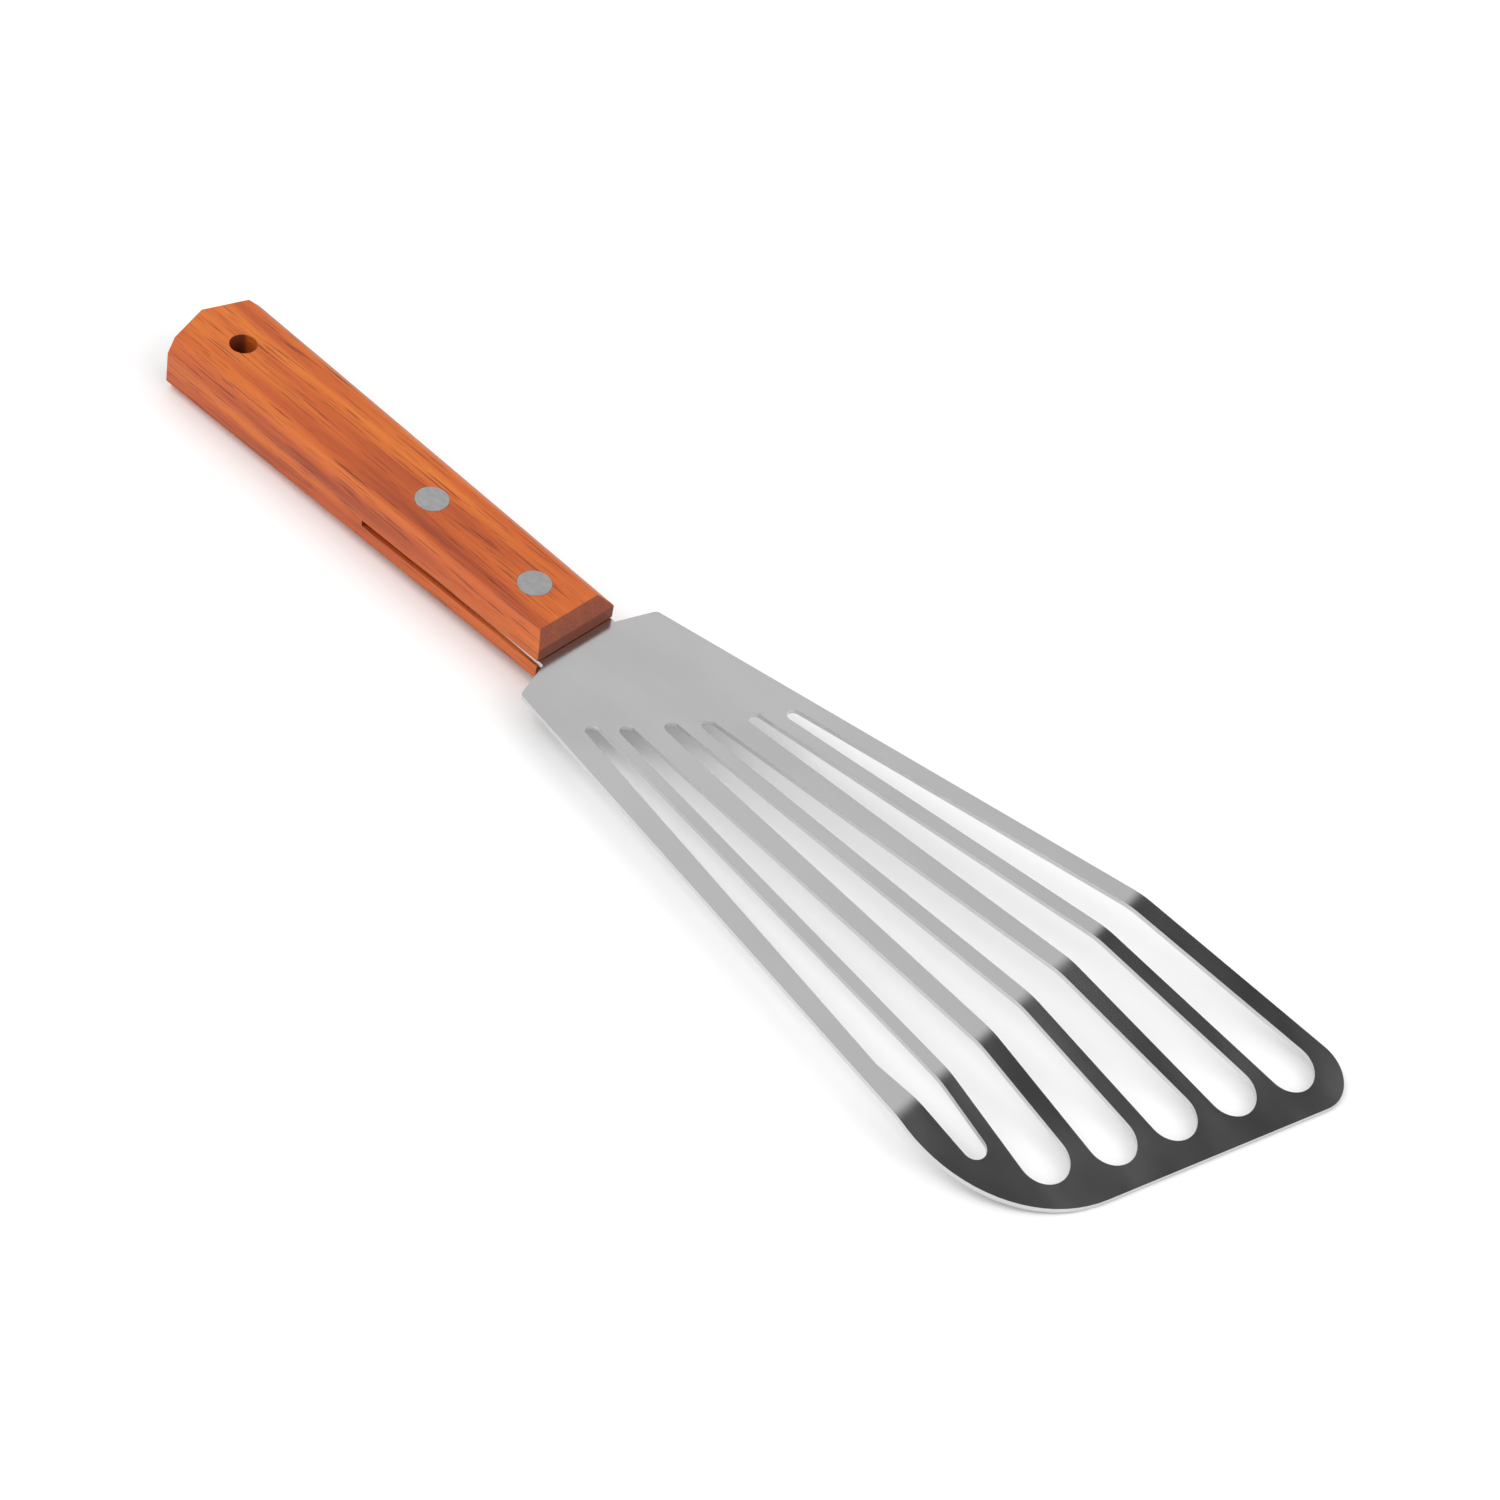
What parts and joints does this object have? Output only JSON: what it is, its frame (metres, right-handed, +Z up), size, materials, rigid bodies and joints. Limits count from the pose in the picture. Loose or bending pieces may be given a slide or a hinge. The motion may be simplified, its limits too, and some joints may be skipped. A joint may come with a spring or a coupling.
{
  "type": "fish spatula",
  "caption": "Slotted fish spatula with a flared, slanted, bent steel blade and a riveted wooden handle with a hanging hole.",
  "frame": {"origin": "middle of the bounding box in plan, on the surface the tool rests on", "axes": "+X along the tool to the front edge of the blade, +Z up away from the surface, +Y to the side of the tight front corner"},
  "size_m": [0.3192, 0.0975, 0.0175],
  "materials": {
    "blade_steel": "satin brushed",
    "handle_wood": "oiled, satin",
    "rivet_steel": "satin"
  },
  "bodies": {
    "root": {"blade": "blade_steel", "handle": "handle_wood", "front_rivet_post": "rivet_steel", "front_rivet_sleeve": "rivet_steel", "rear_rivet_post": "rivet_steel", "rear_rivet_sleeve": "rivet_steel"}
  },
  "joints": []
}
